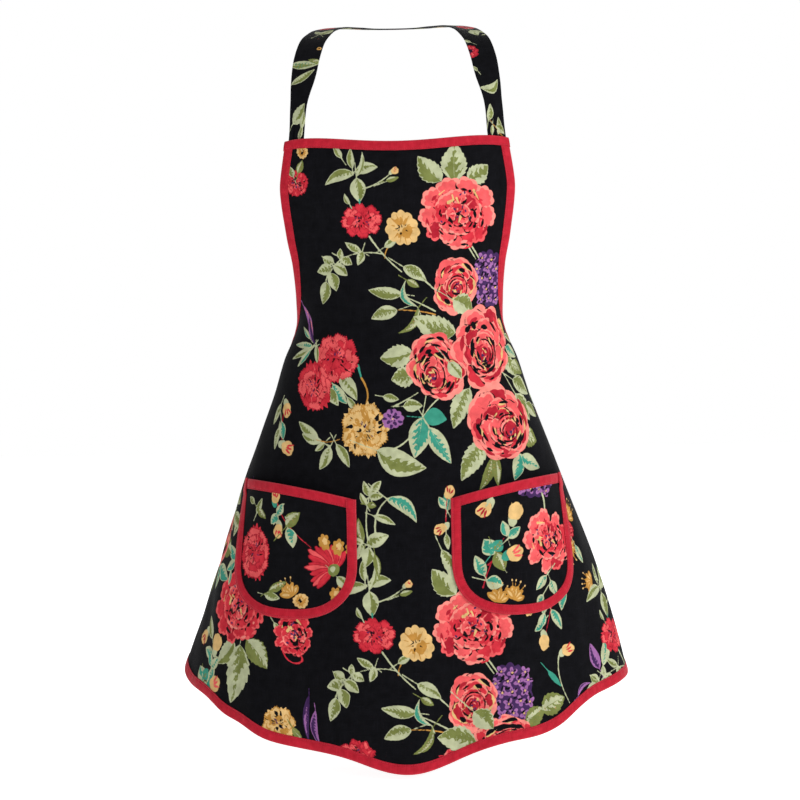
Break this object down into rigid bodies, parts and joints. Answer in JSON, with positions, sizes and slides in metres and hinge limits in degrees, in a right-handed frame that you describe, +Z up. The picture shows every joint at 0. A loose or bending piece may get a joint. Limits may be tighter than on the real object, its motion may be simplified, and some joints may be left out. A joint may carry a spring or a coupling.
{
  "type": "bib apron",
  "caption": "Worn-shape cotton bib apron with a neck strap, patch pockets, scalloped hem, bound edges and waist ties in a bow.",
  "frame": {"origin": "under side of the neck strap, at the middle of the nape", "axes": "+Z up, -Y the front of the apron, +X to the right of someone who looks at the front"},
  "size_m": [0.5492, 0.2856, 0.9233],
  "materials": {
    "printed_cotton": "plain-weave cotton, black with a printed floral pattern",
    "red_binding": "red cotton bias binding, matt"
  },
  "bodies": {
    "strap": {"neck_strap": "printed_cotton"},
    "apron": {"apron_panel": "printed_cotton", "hem_binding": "red_binding", "bib_top_binding": "red_binding", "skirt_side_binding_left": "red_binding", "skirt_side_binding_right": "red_binding", "armhole_binding_left": "red_binding", "armhole_binding_right": "red_binding", "bow_knot": "printed_cotton", "pocket_left": "printed_cotton", "pocket_left_mouth_binding": "red_binding", "pocket_left_edge_binding": "red_binding", "waist_tie_left": "printed_cotton", "bow_loop_left": "printed_cotton", "pocket_right": "printed_cotton", "pocket_right_mouth_binding": "red_binding", "pocket_right_edge_binding": "red_binding", "waist_tie_right": "printed_cotton", "bow_loop_right": "printed_cotton"},
    "tail_left": {"tie_tail_left": "printed_cotton"},
    "tail_right": {"tie_tail_right": "printed_cotton"}
  },
  "joints": [
    {"name": "apron_swing", "type": "hinge", "parent": "strap", "child": "apron", "pos_m": [0, -0.16, -0.161], "axis": [1, 0, 0], "range_deg": [-45, 45]},
    {"name": "tail_left_swing", "type": "hinge", "parent": "apron", "child": "tail_left", "pos_m": [-0.0145, -0.0092, -0.4445], "axis": [1, 0, 0], "range_deg": [-30, 75]},
    {"name": "tail_right_swing", "type": "hinge", "parent": "apron", "child": "tail_right", "pos_m": [0.0145, -0.0092, -0.4445], "axis": [1, 0, 0], "range_deg": [-30, 75]}
  ]
}
